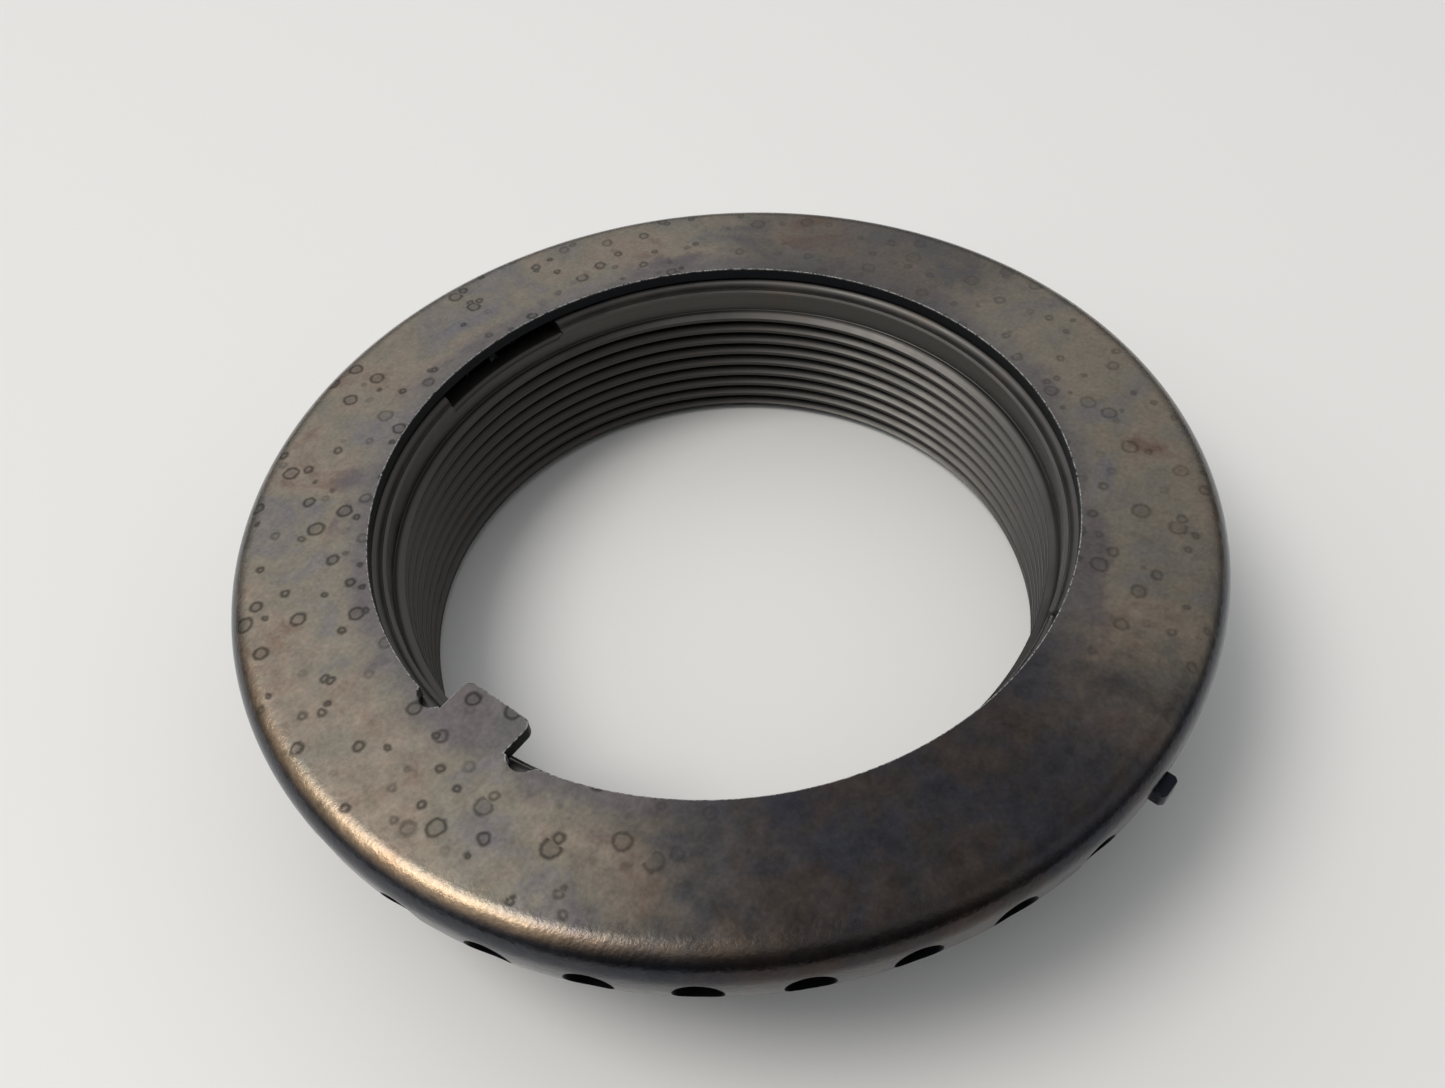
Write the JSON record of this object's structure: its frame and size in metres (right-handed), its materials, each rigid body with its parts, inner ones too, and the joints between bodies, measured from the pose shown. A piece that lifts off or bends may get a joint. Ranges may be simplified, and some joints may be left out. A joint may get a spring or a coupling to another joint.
{
  "type": "self-locking spindle nut",
  "caption": "Round threaded nut for a wheel or axle spindle, turning inside a keyed pressed-steel cage with a row of detent holes, locked by sprung fingers.",
  "frame": {"origin": "centre of the drive end, on the plane that the nut stands on", "axes": "+Z along the bore towards the cage's bearing face, -X towards the cage's key tab, +Y close to lock finger a (at 85 degrees from +X)"},
  "size_m": [0.119, 0.1212, 0.0254],
  "materials": {
    "turned_steel": "turned steel, dark phosphate and oil",
    "tempered_sheet": "heat-tempered sheet steel, bronze-brown oxide, thin oil film, semi-gloss",
    "blued_steel": "blued steel, semi-matt",
    "spring_wire": "oil-hardened spring wire, dull dark grey"
  },
  "bodies": {
    "nut": {"nut_body": "turned_steel", "finger_spring_a1": "spring_wire", "finger_spring_a2": "spring_wire", "finger_spring_b1": "spring_wire", "finger_spring_b2": "spring_wire"},
    "cage": {"lock_cage": "tempered_sheet"},
    "finger_a": {"lock_finger_a": "blued_steel"},
    "finger_b": {"lock_finger_b": "blued_steel"}
  },
  "joints": [
    {"name": "cage_turn", "type": "hinge", "parent": "nut", "child": "cage", "pos_m": [0, 0, 0.0205], "axis": [0, 0, 1], "continuous": true},
    {"name": "finger_a_slide", "type": "slide", "parent": "nut", "child": "finger_a", "axis": [0.0872, 0.9962, 0], "range_m": [-0.0034, 0], "stiffness_N_per_m": 1200, "springref_m": 0.002, "deforming": ["finger_spring_a1", "finger_spring_a2"]},
    {"name": "finger_b_slide", "type": "slide", "parent": "nut", "child": "finger_b", "axis": [-0.0872, -0.9962, 0], "range_m": [-0.0034, 0], "stiffness_N_per_m": 1200, "springref_m": 0.002, "deforming": ["finger_spring_b1", "finger_spring_b2"]}
  ]
}
